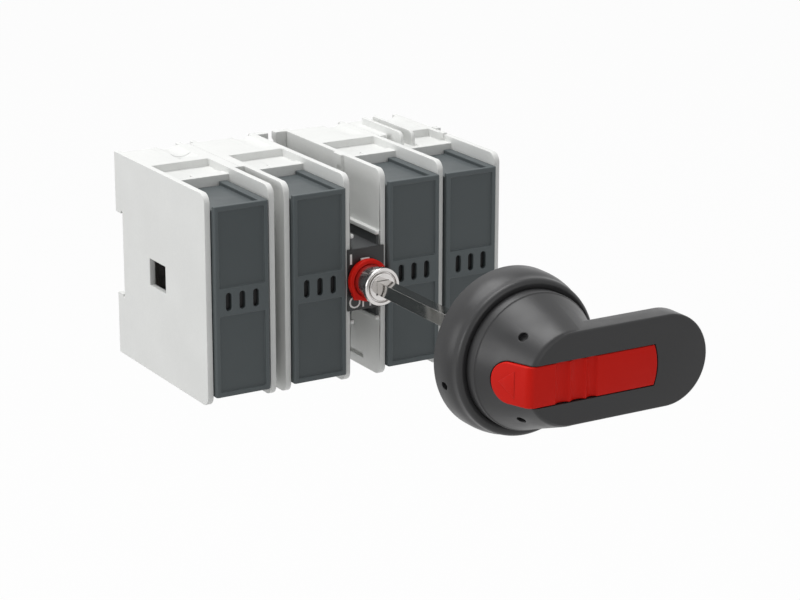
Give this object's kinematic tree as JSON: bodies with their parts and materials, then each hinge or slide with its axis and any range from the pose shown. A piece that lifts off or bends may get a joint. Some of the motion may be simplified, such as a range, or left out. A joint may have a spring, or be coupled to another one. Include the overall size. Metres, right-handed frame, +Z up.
{
  "type": "fuse switch disconnector",
  "caption": "Four-pole fuse switch disconnector with pull-out fuse carriers, sliding contact bar and a lockable door handle on an extended square shaft.",
  "frame": {"origin": "where the shaft axis meets the wall, midway between the two wall screws", "axes": "+X to the right seen from the front, +Y into the wall along the shaft axis, +Z up"},
  "size_m": [0.1497, 0.2521, 0.0983],
  "materials": {
    "housing_grey": "fine-grained moulded polyamide",
    "carrier_grey": "satin moulded plastic",
    "mechanism_grey": "satin moulded plastic",
    "handle_grey": "satin moulded plastic",
    "signal_red": "satin moulded plastic",
    "label_black": "satin label plate",
    "ceramic": "glazed ceramic",
    "silvered_copper": "silver plated",
    "terminal_brass": "plain brass",
    "zinc_steel": "zinc plated",
    "nickel_steel": "bright nickel",
    "shaft_steel": "drawn steel",
    "seal_rubber": "plain"
  },
  "bodies": {
    "base": {"pole_1_left_shell": "housing_grey", "pole_2_left_shell": "housing_grey", "pole_3_left_shell": "housing_grey", "pole_4_left_shell": "housing_grey", "pole_1_right_shell": "housing_grey", "pole_2_right_shell": "housing_grey", "pole_3_right_shell": "housing_grey", "pole_4_right_shell": "housing_grey", "upper_contact_1": "silvered_copper", "upper_contact_2": "silvered_copper", "upper_contact_3": "silvered_copper", "upper_contact_4": "silvered_copper", "lower_contact_1": "silvered_copper", "lower_contact_2": "silvered_copper", "lower_contact_3": "silvered_copper", "lower_contact_4": "silvered_copper", "upper_terminal_1": "terminal_brass", "upper_terminal_2": "terminal_brass", "upper_terminal_3": "terminal_brass", "upper_terminal_4": "terminal_brass", "lower_terminal_1": "terminal_brass", "lower_terminal_2": "terminal_brass", "lower_terminal_3": "terminal_brass", "lower_terminal_4": "terminal_brass", "terminal_screws": "zinc_steel", "mechanism_housing": "mechanism_grey", "mounting_frame": "housing_grey", "label_plate": "label_black", "door_ring": "handle_grey", "door_seal": "seal_rubber", "latch_spring": "zinc_steel"},
    "handle": {"spindle": "zinc_steel", "drive_pinion": "zinc_steel", "indicator_ring": "signal_red", "shaft_collar": "nickel_steel", "collar_screw": "zinc_steel", "square_shaft": "shaft_steel", "handle_body": "handle_grey", "hub_clip": "zinc_steel"},
    "lock": {"lock_slide": "signal_red"},
    "contact_carriage": {"contact_bar": "mechanism_grey", "contact_bridges_1": "silvered_copper", "contact_bridges_2": "silvered_copper", "contact_bridges_3": "silvered_copper", "contact_bridges_4": "silvered_copper"},
    "latch": {"rail_latch": "mechanism_grey"},
    "carrier_1": {"fuse_carrier_1": "carrier_grey", "fuse_link_1": "ceramic", "fuse_blades_1": "silvered_copper"},
    "carrier_2": {"fuse_carrier_2": "carrier_grey", "fuse_link_2": "ceramic", "fuse_blades_2": "silvered_copper"},
    "carrier_3": {"fuse_carrier_3": "carrier_grey", "fuse_link_3": "ceramic", "fuse_blades_3": "silvered_copper"},
    "carrier_4": {"fuse_carrier_4": "carrier_grey", "fuse_link_4": "ceramic", "fuse_blades_4": "silvered_copper"}
  },
  "joints": [
    {"name": "handle_turn", "type": "hinge", "parent": "base", "child": "handle", "pos_m": [0, -0.0907, 0], "axis": [0, 1, 0], "range_deg": [0, 90]},
    {"name": "lock_slide_pull", "type": "slide", "parent": "handle", "child": "lock", "axis": [0, -1, 0], "range_m": [0, 0.01]},
    {"name": "contact_bar_slide", "type": "slide", "parent": "base", "child": "contact_carriage", "axis": [-1, 0, 0], "range_m": [0, 0.0079]},
    {"name": "rail_latch_pull", "type": "slide", "parent": "base", "child": "latch", "axis": [0, 0, -1], "range_m": [0, 0.0035], "stiffness_N_per_m": 400, "springref_m": -0.003, "deforming": ["latch_spring"]},
    {"name": "carrier_1_pull", "type": "slide", "parent": "base", "child": "carrier_1", "axis": [0, -1, 0], "range_m": [0, 0.055]},
    {"name": "carrier_2_pull", "type": "slide", "parent": "base", "child": "carrier_2", "axis": [0, -1, 0], "range_m": [0, 0.055]},
    {"name": "carrier_3_pull", "type": "slide", "parent": "base", "child": "carrier_3", "axis": [0, -1, 0], "range_m": [0, 0.055]},
    {"name": "carrier_4_pull", "type": "slide", "parent": "base", "child": "carrier_4", "axis": [0, -1, 0], "range_m": [0, 0.055]}
  ],
  "couplings": [
    {"joint": "contact_bar_slide", "follows": "handle_turn", "m_per_rad": 0.005}
  ]
}
